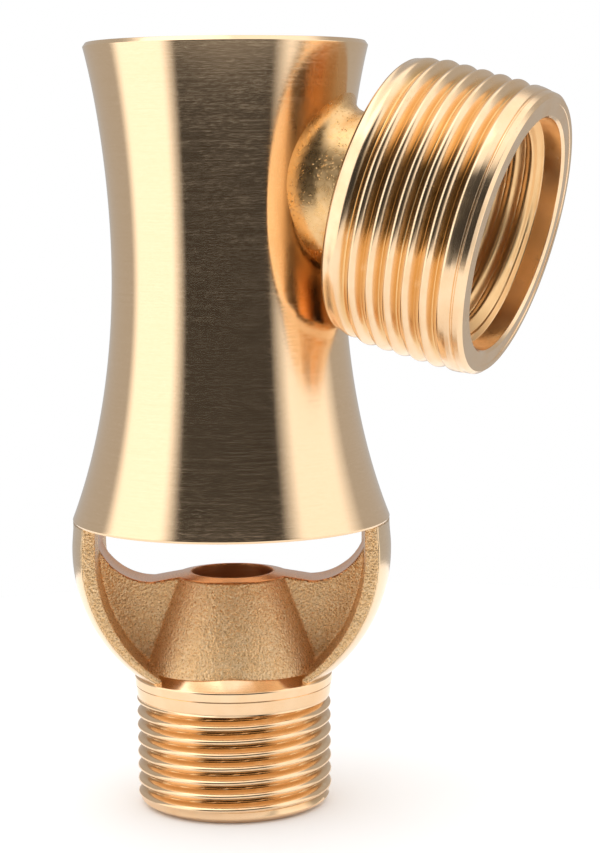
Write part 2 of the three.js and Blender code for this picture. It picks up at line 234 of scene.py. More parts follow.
def surface(fn, lo, hi, h, steps=3):
    """Mesh of the zero surface of fn(x, y, z) < 0, by surface nets, with its vertices drawn onto the surface."""
    ax = [np.arange(lo[i] - h, hi[i] + 2 * h, h) for i in range(3)]
    X, Y, Z = np.meshgrid(*ax, indexing="ij")
    D = fn(X, Y, Z)
    shape = D.shape
    inside = D < 0
    cell = np.zeros(tuple(s - 1 for s in shape), bool)
    corners = [(i, j, k) for i in (0, 1) for j in (0, 1) for k in (0, 1)]
    c = [s - 1 for s in shape]
    cnt = np.zeros(tuple(c), np.int8)
    for i, j, k in corners:
        cnt += inside[i : i + c[0], j : j + c[1], k : k + c[2]]
    cell = (cnt > 0) & (cnt < 8)
    ids = -np.ones(tuple(c), np.int64)
    where = np.argwhere(cell)
    ids[cell] = np.arange(len(where))
    pos = np.zeros((len(where), 3))
    num = np.zeros(len(where))
    I, J, K = where.T
    for a in range(8):
        for b in range(a + 1, 8):
            ca, cb = corners[a], corners[b]
            if sum(abs(ca[t] - cb[t]) for t in range(3)) != 1:
                continue
            da = D[I + ca[0], J + ca[1], K + ca[2]]
            db = D[I + cb[0], J + cb[1], K + cb[2]]
            m = (da < 0) != (db < 0)
            t = np.where(m, da / np.where(m, da - db, 1), 0)
            for q in range(3):
                pos[:, q] += np.where(m, ca[q] + (cb[q] - ca[q]) * t, 0)
            num += m
    pos = pos / num[:, None]
    P = np.stack([ax[q][where[:, q]] + pos[:, q] * h for q in range(3)], 1)
    e = h * 0.05
    for _ in range(steps):
        d = fn(P[:, 0], P[:, 1], P[:, 2])
        g = np.stack(
            [
                (fn(P[:, 0] + e, P[:, 1], P[:, 2]) - fn(P[:, 0] - e, P[:, 1], P[:, 2])),
                (fn(P[:, 0], P[:, 1] + e, P[:, 2]) - fn(P[:, 0], P[:, 1] - e, P[:, 2])),
                (fn(P[:, 0], P[:, 1], P[:, 2] + e) - fn(P[:, 0], P[:, 1], P[:, 2] - e)),
            ],
            1,
        ) / (2 * e)
        gg = np.maximum((g * g).sum(1), 0.2)
        mv = -(d / gg)[:, None] * g
        ln = np.linalg.norm(mv, axis=1, keepdims=True)
        P = P + mv * np.minimum(1, 0.45 * h / np.maximum(ln, 1e-9))
    quads = []
    for axis in range(3):
        o = [q for q in range(3) if q != axis]
        sl0 = [slice(1, -1)] * 3
        sl0[axis] = slice(0, -1)
        sl1 = [slice(1, -1)] * 3
        sl1[axis] = slice(1, None)
        A, B = inside[tuple(sl0)], inside[tuple(sl1)]
        for flip, m in ((False, A & ~B), (True, ~A & B)):
            w = np.argwhere(m)
            if not len(w):
                continue
            base = w.copy()
            for q in o:
                base[:, q] += 1
            idx = []
            for du, dv in ((0, 0), (1, 0), (1, 1), (0, 1)):
                t = base.copy()
                t[:, o[0]] -= du
                t[:, o[1]] -= dv
                idx.append(ids[t[:, 0], t[:, 1], t[:, 2]])
            q4 = np.stack(idx, 1)
            quads.append(q4 if flip != (axis == 1) else q4[:, ::-1])
    return P, np.concatenate(quads)


def sdf_piece(name, fn, lo, hi, h, mat, place=BODY, zones=None, sharp=50.0, steps=3):
    P, Q = surface(fn, lo, hi, h, steps)
    z = zones(P) if zones else None
    return make(name, P, Q.tolist(), mat, place, sharp, z)


def boolean(ob, other, op="DIFFERENCE"):
    m = ob.modifiers.new("cut", "BOOLEAN")
    m.operation, m.solver, m.object = op, "EXACT", other
    dg = bpy.context.evaluated_depsgraph_get()
    new = bpy.data.meshes.new_from_object(ob.evaluated_get(dg), depsgraph=dg)
    ob.modifiers.clear()
    ob.data = new
    bpy.data.objects.remove(other)
    ob.data.shade_smooth()
    ob.data.set_sharp_from_angle(angle=math.radians(35))
    return ob


def tube(path, rad, sides=12, closed=False):
    """Round wire along points."""
    path = np.asarray(path, float)
    n = len(path)
    tan = np.gradient(path, axis=0) if not closed else np.roll(path, -1, 0) - np.roll(path, 1, 0)
    tan /= np.linalg.norm(tan, axis=1, keepdims=True)
    up = np.array([0.0, 0.0, 1.0])
    if abs(tan[0] @ up) > 0.9:
        up = np.array([1.0, 0, 0])
    verts = []
    nrm = np.cross(tan[0], up)
    nrm /= np.linalg.norm(nrm)
    for i in range(n):
        nrm = nrm - tan[i] * (nrm @ tan[i])
        nrm /= np.linalg.norm(nrm)
        b = np.cross(tan[i], nrm)
        for k in range(sides):
            a = TAU * k / sides
            verts.append(path[i] + rad * (math.cos(a) * nrm + math.sin(a) * b))
    faces = []
    for i in range(n if closed else n - 1):
        j = (i + 1) % n
        for k in range(sides):
            k2 = (k + 1) % sides
            faces.append((i * sides + k, i * sides + k2, j * sides + k2, j * sides + k))
    if not closed:
        faces.append(tuple(range(sides))[::-1])
        faces.append(tuple((n - 1) * sides + k for k in range(sides)))
    return np.array(verts), faces


def settle(ob, body, slot, *nodes):
    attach(ob, body)
    if nodes:
        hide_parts(*nodes)
    return ob


# ------------------------------------------------------------------ materials
class Mat:
    """A small builder of node materials. Coordinates are the piece's own, in millimetres."""

    def __init__(self, name, color, rough, metallic=1.0, **sockets):
        self.m = bpy.data.materials.new(name)
        self.m.use_nodes = True
        self.t = self.m.node_tree
        self.bsdf = self.t.nodes["Principled BSDF"]
        self.bsdf.inputs["Base Color"].default_value = (*color, 1)
        self.bsdf.inputs["Roughness"].default_value = rough
        self.bsdf.inputs["Metallic"].default_value = metallic
        for k, v in sockets.items():
            self.bsdf.inputs[k.replace("_", " ")].default_value = v
        self.m.diffuse_color = (*color, 1)
        tc = self.t.nodes.new("ShaderNodeTexCoord")
        s = self.t.nodes.new("ShaderNodeVectorMath")
        s.operation = "SCALE"
        s.inputs["Scale"].default_value = 1000
        self.t.links.new(tc.outputs["Object"], s.inputs[0])
        self.mm = s.outputs[0]
        self._polar = None

    def link(self, a, b):
        self.t.links.new(a, b)

    def put(self, sock, x):
        if isinstance(x, (int, float)):
            sock.default_value = x
        elif isinstance(x, tuple):
            sock.default_value = x
        else:
            self.link(x, sock)

    def math(self, op, a, b=0.0, c=None, clamp=False):
        n = self.t.nodes.new("ShaderNodeMath")
        n.operation = op
        n.use_clamp = clamp
        self.put(n.inputs[0], a)
        self.put(n.inputs[1], b)
        if c is not None:
            self.put(n.inputs[2], c)
        return n.outputs[0]

    def scaled(self, sx, sy, sz):
        n = self.t.nodes.new("ShaderNodeVectorMath")
        n.operation = "MULTIPLY"
        self.link(self.mm, n.inputs[0])
        n.inputs[1].default_value = (sx, sy, sz)
        return n.outputs[0]

    def noise(self, vec=None, scale=1.0, detail=3.0, rough=0.55, w=None, distort=0.0):
        n = self.t.nodes.new("ShaderNodeTexNoise")
        n.inputs["Scale"].default_value = scale
        n.inputs["Detail"].default_value = detail
        n.inputs["Roughness"].default_value = rough
        n.inputs["Distortion"].default_value = distort
        if w is not None:
            n.noise_dimensions = "4D"
            self.put(n.inputs["W"], w)
        self.link(vec if vec is not None else self.mm, n.inputs["Vector"])
        return n.outputs["Fac"]

    def cells(self, scale, rand=1.0, feature="SMOOTH_F1", smoothness=0.6, vec=None):
        n = self.t.nodes.new("ShaderNodeTexVoronoi")
        n.feature = feature
        n.inputs["Scale"].default_value = scale
        n.inputs["Randomness"].default_value = rand
        if feature == "SMOOTH_F1":
            n.inputs["Smoothness"].default_value = smoothness
        self.link(vec if vec is not None else self.mm, n.inputs["Vector"])
        return n.outputs["Distance"]

    def polar(self):
        if self._polar is None:
            s = self.t.nodes.new("ShaderNodeSeparateXYZ")
            self.link(self.mm, s.inputs[0])
            x, y, z = s.outputs
            r = self.math("SQRT", self.math("ADD", self.math("MULTIPLY", x, x), self.math("MULTIPLY", y, y)))
            r = self.math("MAXIMUM", r, 0.01)
            self._polar = (r, self.math("DIVIDE", x, r), self.math("DIVIDE", y, r), z)
        return self._polar

    def turned(self, fine=6.0, along=1.2, detail=4.0, rough=0.65):
        """Noise drawn out round the axis, like tool and brush marks on a turned piece."""
        r, c, s, z = self.polar()
        v = self.t.nodes.new("ShaderNodeCombineXYZ")
        self.link(self.math("MULTIPLY", r, fine), v.inputs[0])
        self.link(self.math("MULTIPLY", z, fine), v.inputs[1])
        self.link(self.math("MULTIPLY", c, along), v.inputs[2])
        return self.noise(v.outputs[0], 1.0, detail, rough, w=self.math("MULTIPLY", s, along))

    def map(self, x, a, b, c, d, clamp=True):
        n = self.t.nodes.new("ShaderNodeMapRange")
        n.clamp = clamp
        self.put(n.inputs["Value"], x)
        for k, v in zip(("From Min", "From Max", "To Min", "To Max"), (a, b, c, d)):
            self.put(n.inputs[k], v)
        return n.outputs["Result"]

    def mixf(self, f, a, b):
        n = self.t.nodes.new("ShaderNodeMix")
        n.data_type = "FLOAT"
        self.put(n.inputs[0], f)
        self.put(n.inputs[2], a)
        self.put(n.inputs[3], b)
        return n.outputs[0]

    def mixc(self, f, a, b, mode="MIX"):
        n = self.t.nodes.new("ShaderNodeMix")
        n.data_type = "RGBA"
        n.blend_type = mode
        self.put(n.inputs[0], f)
        for q, v in ((6, a), (7, b)):
            if isinstance(v, tuple):
                n.inputs[q].default_value = (*v[:3], 1)
            else:
                self.link(v, n.inputs[q])
        return n.outputs[2]

    def attr(self, name):
        n = self.t.nodes.new("ShaderNodeAttribute")
        n.attribute_name = name
        return n.outputs["Fac"]

    def edge_wear(self):
        n = self.t.nodes.new("ShaderNodeNewGeometry")
        return self.map(n.outputs["Pointiness"], 0.52, 0.62, 0.0, 1.0)

    def bump(self, height, depth_mm=1.0, strength=1.0, prev=None):
        n = self.t.nodes.new("ShaderNodeBump")
        n.inputs["Distance"].default_value = depth_mm * 0.001
        n.inputs["Strength"].default_value = strength
        self.put(n.inputs["Height"], height)
        if prev is not None:
            self.link(prev, n.inputs["Normal"])
        return n.outputs["Normal"]

    def radial_tangent(self):
        n = self.t.nodes.new("ShaderNodeTangent")
        n.direction_type = "RADIAL"
        n.axis = "Z"
        self.link(n.outputs[0], self.bsdf.inputs["Tangent"])

    def done(self, color=None, rough=None, normal=None):
        if color is not None:
            self.link(color, self.bsdf.inputs["Base Color"])
        if rough is not None:
            self.link(rough, self.bsdf.inputs["Roughness"])
        if normal is not None:
            self.link(normal, self.bsdf.inputs["Normal"])
        return self.m


BRASS = (0.90, 0.65, 0.41)
BRASS_DEEP = (0.82, 0.51, 0.25)
BRASS_PALE = (0.93, 0.72, 0.50)


def mat_brushed():
    b = Mat("brushed_brass", BRASS, 0.25)
    b.bsdf.inputs["Anisotropic"].default_value = 0.95
    b.bsdf.inputs["Anisotropic Rotation"].default_value = 0.25
    b.radial_tangent()
    fine = b.turned(6.5, 22.0, 2.0, 0.6)
    long = b.turned(6.0, 2.0, 3.0, 0.6)
    cloud = b.noise(scale=0.12, detail=2.0)
    hgt = b.math("ADD", b.math("MULTIPLY", fine, 0.0034), b.math("MULTIPLY", long, 0.0014))
    tone = b.math("ADD", b.math("MULTIPLY", fine, 0.55), b.math("MULTIPLY", long, 0.45))
    col = b.mixc(b.map(tone, 0.3, 0.7, 0.0, 1.0), (0.87, 0.62, 0.38), (0.93, 0.68, 0.44))
    col = b.mixc(b.map(cloud, 0.35, 0.65, 0.0, 0.2), col, (0.89, 0.64, 0.40))
    rough = b.map(tone, 0.44, 0.66, 0.11, 0.22)
    return b.done(col, rough, b.bump(hgt))


# floor is the colour of the painted shade laid into the grooves
def mat_polished(name="polished_brass", base=BRASS, lo=0.075, hi=0.17, lines=0.0012, pits=True, paint_groove_shade=False, floor=(0.74, 0.40, 0.075)):
    b = Mat(name, base, 0.12)
    fine = b.turned(4.0, 1.2, 3.0, 0.6)
    cloud = b.noise(scale=0.35, detail=4.0)
    hgt = b.math("MULTIPLY", fine, lines)
    if pits:
        # small porous specks gathered in patches
        spots = b.map(b.cells(3.2, 1.0, "F1"), 0.10, 0.24, 1.0, 0.0)
        patch = b.map(b.noise(scale=0.16, detail=2.0), 0.56, 0.68, 0.0, 1.0)
        pit = b.math("MULTIPLY", spots, patch)
        hgt = b.math("SUBTRACT", hgt, b.math("MULTIPLY", pit, 0.02))
    deep = tuple(c * k for c, k in zip(base, (0.95, 0.87, 0.76)))
    col = b.mixc(b.map(cloud, 0.35, 0.7, 0.0, 0.6), base, deep)
    if paint_groove_shade:
        # painted shade: groove floors are painted a darker, deeper gold than the crests, standing in for the shade
        # between the ridges
        col = b.mixc(b.math("MULTIPLY", b.attr("groove"), 0.85), col, floor)
    wear = b.edge_wear()
    col = b.mixc(b.math("MULTIPLY", wear, 0.4), col, BRASS_PALE)
    rough = b.math("ADD", b.map(cloud, 0.3, 0.75, lo, hi), b.math("MULTIPLY", fine, 0.03))
    rough = b.math("ADD", rough, b.math("MULTIPLY", b.attr("bore"), 0.16))
    return b.done(col, rough, b.bump(hgt))


def mat_turned(name="turned_brass", base=BRASS, r0=0.16, r1=0.30, depth=0.006, fine=3.2):
    b = Mat(name, base, 0.22)
    b.bsdf.inputs["Anisotropic"].default_value = 0.45
    b.bsdf.inputs["Anisotropic Rotation"].default_value = 0.25
    b.radial_tangent()
    f = b.turned(fine, 0.7, 4.0, 0.6)
    cloud = b.noise(scale=0.3, detail=3.0)
    deep = tuple(c * k for c, k in zip(base, (0.9, 0.85, 0.78)))
    col = b.mixc(b.map(b.math("ADD", b.math("MULTIPLY", f, 0.6), b.math("MULTIPLY", cloud, 0.4)), 0.35, 0.65, 0.0, 1.0), deep, base)
    col = b.mixc(b.math("MULTIPLY", b.edge_wear(), 0.6), col, tuple(min(1, c * 1.12) for c in base))
    return b.done(col, b.map(f, 0.3, 0.7, r0, r1), b.bump(b.math("MULTIPLY", f, depth)))


def mat_cast():
    """Sand-cast brass with turned and polished areas, chosen by the mesh's own rough and turned values."""
    b = Mat("cast_brass", BRASS, 0.3)
    rough_zone = b.attr("rough")
    cut_zone = b.attr("turned")
    g1 = b.noise(scale=3.6, detail=3.0, rough=0.6, distort=0.2)
    g2 = b.cells(3.3, 1.0, "SMOOTH_F1", 0.5)
    g3 = b.noise(scale=0.55, detail=3.0, rough=0.6)
    grain = b.math("ADD", b.math("MULTIPLY", g1, 0.15), b.math("MULTIPLY", g2, 0.09))
    grain = b.math("ADD", grain, b.math("MULTIPLY", g3, 0.11))
    line = b.turned(3.6, 0.8, 3.0, 0.6)
    flat = b.math("MULTIPLY", line, 0.0035)
    hgt = b.mixf(rough_zone, flat, grain)
    cast_col = b.mixc(b.map(g1, 0.32, 0.68, 0.0, 1.0), (0.66, 0.38, 0.15), (0.96, 0.70, 0.42))
    cast_col = b.mixc(b.map(g3, 0.35, 0.65, 0.0, 0.5), cast_col, (0.84, 0.50, 0.22))
    cut_col = b.mixc(b.map(line, 0.35, 0.65, 0.0, 1.0), (0.80, 0.40, 0.19), (0.86, 0.47, 0.25))
    smooth_col = b.mixc(b.map(line, 0.35, 0.65, 0.0, 0.6), (0.88, 0.63, 0.38), (0.93, 0.69, 0.44))
    col = b.mixc(cut_zone, smooth_col, cut_col)
    col = b.mixc(rough_zone, col, cast_col)
    rgh = b.mixf(rough_zone, b.map(line, 0.3, 0.7, 0.13, 0.21), b.map(g1, 0.3, 0.7, 0.24, 0.34))
    rgh = b.math("ADD", rgh, b.math("MULTIPLY", cut_zone, 0.04))
    bore = b.attr("bore")
    rgh = b.mixf(bore, rgh, 0.42)
    # coarse sand texture scatters light more than it mirrors it
    dull = b.math("MULTIPLY", rough_zone, 0.18)
    b.put(b.bsdf.inputs["Metallic"], b.math("SUBTRACT", 1.0, dull))
    return b.done(col, rgh, b.bump(hgt))


def mat_neck():
    """Hand-smoothed casting between the body and the collar: deep gold, partly its dull cast finish and partly painted
    shade for the shadowed neck, with fine cast pits that catch the light.
    """
    b = Mat("neck_brass", (0.82, 0.52, 0.24), 0.30)
    g = b.cells(2.6, 1.0, "F1")
    patch = b.map(b.noise(scale=0.25, detail=2.0), 0.45, 0.62, 0.0, 1.0)
    soft = b.noise(scale=1.1, detail=4.0)
    pit = b.math("MULTIPLY", b.map(g, 0.1, 0.3, 1.0, 0.0), patch)
    hgt = b.math("SUBTRACT", b.math("MULTIPLY", soft, 0.02), b.math("MULTIPLY", pit, 0.05))
    # deeper gold than the body: partly the cast finish, partly painted shade for the shadowed neck beside the collar
    col = b.mixc(b.map(soft, 0.3, 0.7, 0.0, 1.0), (0.76, 0.46, 0.19), (0.87, 0.58, 0.29))
    return b.done(col, b.map(soft, 0.3, 0.7, 0.24, 0.34), b.bump(hgt))


def mat_steel(name="stainless", color=(0.62, 0.61, 0.60), r0=0.18, r1=0.32):
    b = Mat(name, color, 0.25)
    f = b.turned(5.0, 1.0, 3.0, 0.6)
    cloud = b.noise(scale=0.8, detail=4.0)
    col = b.mixc(b.map(cloud, 0.35, 0.65, 0.0, 1.0), tuple(c * 0.86 for c in color), color)
    col = b.mixc(b.math("MULTIPLY", b.edge_wear(), 0.6), col, (0.8, 0.8, 0.79))
    return b.done(col, b.map(f, 0.3, 0.7, r0, r1), b.bump(b.math("MULTIPLY", f, 0.003)))


def mat_rubber(name="seal_rubber", color=(0.018, 0.018, 0.019)):
    b = Mat(name, color, 0.55, 0.0)
    n = b.noise(scale=6.0, detail=4.0)
    m = b.noise(scale=0.9, detail=3.0)
    col = b.mixc(b.map(m, 0.4, 0.7, 0.0, 1.0), color, tuple(c * 2.1 for c in color))
    return b.done(col, b.map(n, 0.3, 0.7, 0.45, 0.68), b.bump(b.math("MULTIPLY", n, 0.02)))


def mat_plastic(name, color, r0, r1):
    b = Mat(name, color, 0.4, 0.0)
    f = b.turned(4.0, 1.0, 3.0, 0.6)
    m = b.noise(scale=0.7, detail=3.0)
    col = b.mixc(b.map(m, 0.35, 0.65, 0.0, 1.0), tuple(c * 0.93 for c in color), color)
    return b.done(col, b.map(f, 0.3, 0.7, r0, r1), b.bump(b.math("MULTIPLY", f, 0.008)))


def mat_sinter():
    b = Mat("sintered_bronze", (0.36, 0.25, 0.14), 0.6, 0.9)
    c = b.cells(5.0, 1.0, "F1")
    col = b.mixc(b.map(c, 0.1, 0.6, 0.0, 1.0), (0.48, 0.34, 0.2), (0.10, 0.07, 0.04))
    return b.done(col, b.map(c, 0.1, 0.6, 0.4, 0.8), b.bump(b.math("MULTIPLY", c, -0.12)))


M_BRUSHED = mat_brushed()
# the floor colours below are painted shade for the ridge grooves and the thread roots
M_POLISHED = mat_polished("polished_brass", BRASS, 0.12, 0.26, paint_groove_shade=True, floor=(0.80, 0.49, 0.20))
M_THREAD = mat_polished("thread_brass", (0.90, 0.64, 0.40), 0.09, 0.16, 0.002, False, paint_groove_shade=True, floor=(0.70, 0.42, 0.19))
M_CAST = mat_cast()
M_NECK = mat_neck()
M_TURNED = mat_turned()
M_STEEL = mat_steel()
M_WIRE = mat_steel("spring_steel", (0.42, 0.43, 0.45), 0.22, 0.38)
M_SCREEN = mat_steel("screen_steel", (0.66, 0.65, 0.63), 0.16, 0.3)
M_RUBBER = mat_rubber()
M_WASHER = mat_rubber("washer_rubber", (0.035, 0.035, 0.038))
M_ACETAL = mat_plastic("acetal", (0.82, 0.80, 0.74), 0.32, 0.48)
M_PTFE = mat_plastic("ptfe", (0.86, 0.86, 0.84), 0.42, 0.55)
M_SINTER = mat_sinter()

# ------------------------------------------------------------------ body sleeve
OUT = [  # outside radius against height
    (39.1, 21.45), (41.3, 20.58), (43.4, 19.88), (45.4, 19.26), (49.5, 18.22), (53.5, 17.32), (57.6, 16.62),
    (61.6, 16.13), (65.7, 15.76), (71.7, 15.57), (76.0, 15.53), (79.6, 15.68), (83.6, 15.98), (87.5, 16.36),
    (91.5, 16.85), (95.4, 17.46), (99.3, 18.2), (102.4, 18.95),
]


def spline(pts, x):
    """Natural cubic through (x, y) points."""
    xs = np.array([p[0] for p in pts], float)
    ys = np.array([p[1] for p in pts], float)
    n = len(xs)
    hh = np.diff(xs)
    A = np.zeros((n, n))
    rhs = np.zeros(n)
    A[0, 0] = A[-1, -1] = 1
    for i in range(1, n - 1):
        A[i, i - 1], A[i, i], A[i, i + 1] = hh[i - 1], 2 * (hh[i - 1] + hh[i]), hh[i]
        rhs[i] = 6 * ((ys[i + 1] - ys[i]) / hh[i] - (ys[i] - ys[i - 1]) / hh[i - 1])
    M = np.linalg.solve(A, rhs)
    i = np.clip(np.searchsorted(xs, x) - 1, 0, n - 2)
    t = x - xs[i]
    u = xs[i + 1] - x
    return (
        M[i] * u**3 / (6 * hh[i]) + M[i + 1] * t**3 / (6 * hh[i])
        + (ys[i] / hh[i] - M[i] * hh[i] / 6) * u + (ys[i + 1] / hh[i] - M[i + 1] * hh[i] / 6) * t
    )


_zs = np.linspace(39.1, 102.4, 300)
_fit = np.poly1d(np.polyfit(_zs, spline(OUT, _zs), 7))  # one fair curve through the stations


def body_radius(z):
    return _fit(z)


def sleeve_profile(grow=0.0):
    z = np.concatenate([[39.42, 39.6, 39.8], np.linspace(40.2, 101.2, 74), [101.55, 101.68]])
    return [(body_radius(v) + grow, v, 0) for v in z]


sleeve_pts = (
    [(21.22, 39.02, 0.05), (body_radius(39.3) - 0.01, 39.3, 0.06)]
    + sleeve_profile()
    + [(body_radius(101.85), 101.85, 0.12), (18.42, TOP_Z, 0.14), (14.9, TOP_Z, 0.1), (14.4, TOP_Z - 0.5, 0.1)]
    + [(14.4, 92.6, 0.1), (11.6, 92.6, 0.1), (11.6, 77.3, 0.1), (12.6, 77.3, 0.1), (12.6, 72.8, 0.1)]
    + [(13.6, 72.8, 0.1), (13.6, 71.4, 0.1), (12.6, 71.4, 0.1), (12.6, 57.2, 0.2), (14.6, 57.2, 0.2)]
    + [(14.6, 44.4, 0.1), (16.2, 44.4, 0.1), (16.2, 42.8, 0.1), (18.3, 42.8, 0.1), (18.3, 39.8, 0.1)]
    + [(19.6, 39.8, 0.1), (19.6, 39.02, 0.1)]
)


def cap_thread(R, Z, th):
    """Female thread in the top bore."""
    ph = Z / 1.0 - th[None, :] / TAU
    tri = 0.5 + 0.5 * np.cos(TAU * ph)
    on = (np.abs(R - 14.4) < 0.02) * smooth(Z, 92.9, 93.6) * (1 - smooth(Z, 100.6, 101.4))
    return R + 0.32 * on * tri, Z


_p = rounded(sleeve_pts, True, 5, 0.15)
# extra stations down the threaded top bore
_q = []
for i in range(len(_p)):
    a, b = _p[i], _p[(i + 1) % len(_p)]
    _q.append(a)
    if abs(a[0] - 14.4) < 0.01 and abs(b[0] - 14.4) < 0.01 and abs(a[1] - b[1]) > 2:
        k = int(abs(a[1] - b[1]) / 0.16)
        for j in range(1, k):
            _q.append(a + (b - a) * j / k)
_q = np.array(_q)
SEG = 192
_Rr, _Zz = cap_thread(np.repeat(_q[:, 0:1], SEG, 1), np.repeat(_q[:, 1:2], SEG, 1), np.arange(SEG) * TAU / SEG)
_v, _f = sweep(_Rr, _Zz, True)
sleeve = make("body_sleeve_shell", _v, _f, M_BRUSHED, BODY, 35)


def rod(r, z0, z1, place, seg=64):
    v, f = sweep(np.repeat([[0], [r], [r], [0]], seg, 1), np.repeat([[z0], [z0], [z1], [z1]], seg, 1), False)
    return make("cutter", v, f, M_TURNED, place, 30)


boolean(sleeve, rod(7.1, 8, 22, PORT))
VENT = BODY @ Matrix.Translation((0, 0, 0.063)) @ Matrix.Rotation(-math.pi / 2, 4, "X")
boolean(sleeve, rod(1.6, 9, 22, VENT, 32))
settle(sleeve, "body", "brushed_brass", "body_sleeve")

vent = lathe("vent_filter_disc", [(0, 12.9, 0), (1.5, 12.9, 0.1), (1.5, 15.55, 0.25), (0, 15.75, 0)], M_SINTER, VENT, 40)
settle(vent, "body", "sintered_bronze", "vent_filter")

# ------------------------------------------------------------------ outlet yoke: cast upper part
TOPCUT = rounded(
    [(0, 31.8, 0), (5.465, 31.8, 0.0), (11.0, 30.8, 0.35)]
    + [(11.0 + 7.6 * math.cos(a), 38.4 + 7.6 * math.sin(a), 0) for a in np.linspace(-math.pi / 2 + 0.05, -math.pi / 2 + math.asin(7.0 / 7.6), 22)]
    + [(18.0, 60, 0), (0, 60, 0)],
    True, 5, 0.05,
)


def polygon_distance(poly, X, Y):
    d = np.full(X.shape, 1e9)
    inside = np.zeros(X.shape, bool)
    n = len(poly)
    for i in range(n):
        ax_, ay_ = poly[i]
        bx, by = poly[(i + 1) % n]
        ex, ey = bx - ax_, by - ay_
        L = ex * ex + ey * ey
        if L < 1e-12:
            continue
        t = np.clip(((X - ax_) * ex + (Y - ay_) * ey) / L, 0, 1)
        d = np.minimum(d, (X - ax_ - t * ex) ** 2 + (Y - ay_ - t * ey) ** 2)
        cond = (ay_ > Y) != (by > Y)
        xi = ax_ + (Y - ay_) / (by - ay_ if by != ay_ else 1e-9) * ex
        inside ^= cond & (X < xi)
    d = np.sqrt(d)
    return np.where(inside, -d, d)


_gr = np.arange(-0.5, 30, 0.05)
_gz = np.arange(14, 48, 0.05)
_GR, _GZ = np.meshgrid(_gr, _gz, indexing="ij")
# the region removed by turning, mirrored over the axis so that the axis is well inside it
_T = polygon_distance([(-30, 60), (-30, 31.8)] + [tuple(q) for q in TOPCUT[1:-1]], _GR, _GZ)


def sample(G, r, z):
    i = np.clip((r - _gr[0]) / 0.05, 0, len(_gr) - 2.001)
    j = np.clip((z - _gz[0]) / 0.05, 0, len(_gz) - 2.001)
    a, b = i.astype(int), j.astype(int)
    u, v = i - a, j - b
    return (G[a, b] * (1 - u) + G[a + 1, b] * u) * (1 - v) + (G[a, b + 1] * (1 - u) + G[a + 1, b + 1] * u) * v


CONE = math.atan2(12.4 - 7.95, 30.5 - 17.95)


def yoke_parts(x, y, z):
    r = np.sqrt(x * x + y * y)
    ball = np.sqrt(x * x + y * y + np.minimum(z - 35, 0) ** 2) - 21.5 + 0.2 * smooth(z, 35.2, 38.6)
    pock = np.sqrt(x * x + (0.922 * np.minimum(z - 35, 0)) ** 2) - 17.75
    draft = 0.015 * (np.abs(x))
    web = np.abs(y) - 3.0 - 0.02 * (31 - z)
    cone = (r - (12.4 - (z - 17.95) * math.tan(CONE))) * math.cos(CONE)
    top = sample(_T, r, z)
    return r, ball, pock, web, cone, top


def yoke_fn(x, y, z):
    r, ball, pock, web, cone, top = yoke_parts(x, y, z)
    wall = smin(web, -pock, 0.5)  # web and arms with a fillet between
    arms = smax(smax(smax(ball, np.abs(y) - 8.7, 0.3), wall, 0.25), z - 39.0, 0.05)
    s = smin(arms, cone, 0.3)
    s = smax(s, 17.3 - z, 0.05)
    s = smax(s, -top, 0.12)
    s = smax(s, 5.465 - r, 0.10)
    ring = smax(np.abs(r - 16.8) - 1.2, np.abs(z - 40.55) - 1.85, 0.08)
    shoulder = smax(np.abs(r - 17.45) - 1.85, np.abs(z - 39.1) - 0.4, 0.08)
    return np.minimum(smin(s, ring, 0.05), shoulder)


def yoke_zones(P):
    x, y, z = P.T
    r, ball, pock, web, cone, top = yoke_parts(x, y, z)
    outer = 1 - smooth(np.abs(ball), 0.06, 0.16)
    turned = np.maximum(1 - smooth(np.abs(top), 0.05, 0.14), 1 - smooth(np.abs(r - 5.465), 0.05, 0.14))
    turned = np.maximum(turned, (z > 38.5) * (r < 19.5))
    # the collar's turned lip runs up a little at the middle, front and back
    ang = np.arctan2(np.abs(x), np.abs(y))
    lip = 17.6 + 0.5 * np.exp(-((ang / 0.33) ** 2))
    low = 1 - smooth(z - lip, -0.15, 0.25)
    rough = (1 - np.maximum(np.maximum(outer, turned), low))
    return {"rough": rough, "turned": turned * (1 - outer), "bore": (1 - smooth(r, 5.6, 5.75))}


H = 0.21
casting = sdf_piece("outlet_yoke_casting", yoke_fn, (-21.8, -13.2, 17.0), (21.8, 13.2, 42.7), H, M_CAST, BODY, yoke_zones, 60)
settle(casting, "body", "cast_brass", "outlet_yoke")

# ------------------------------------------------------------------ outlet yoke: collar and male thread
PITCH = 1.84


def bump_profile(ph):
    """Round crest and rounded groove: 1 on the crest, 0 in the groove."""
    return (0.5 - 0.5 * np.cos(TAU * ph)) ** 0.72


def out_thread(R, Z, th):
    ph = Z / PITCH - th[None, :] / TAU + 0.12
    on = smooth(Z, 0.9, 1.7) * (1 - smooth(Z, 14.3, 14.9)) * (R > 12.0)
    # the turned lip on top rises a little at the middle, front and back
    hump = 0.45 * np.exp(-((np.cos(th[None, :]) / 0.33) ** 2)) * smooth(Z, 18.2, 19.1)
    return R - on * 0.98 * (1 - bump_profile(ph)), Z + hump


def out_thread_zone(v):
    r = np.hypot(v[:, 0], v[:, 1])
    # painted shade mask: darkest at the thread roots
    return {"groove": smooth(13.2 - r, 0.2, 0.8) * (r > 12.0) * (v[:, 2] > 1.6) * (v[:, 2] < 14.9)}


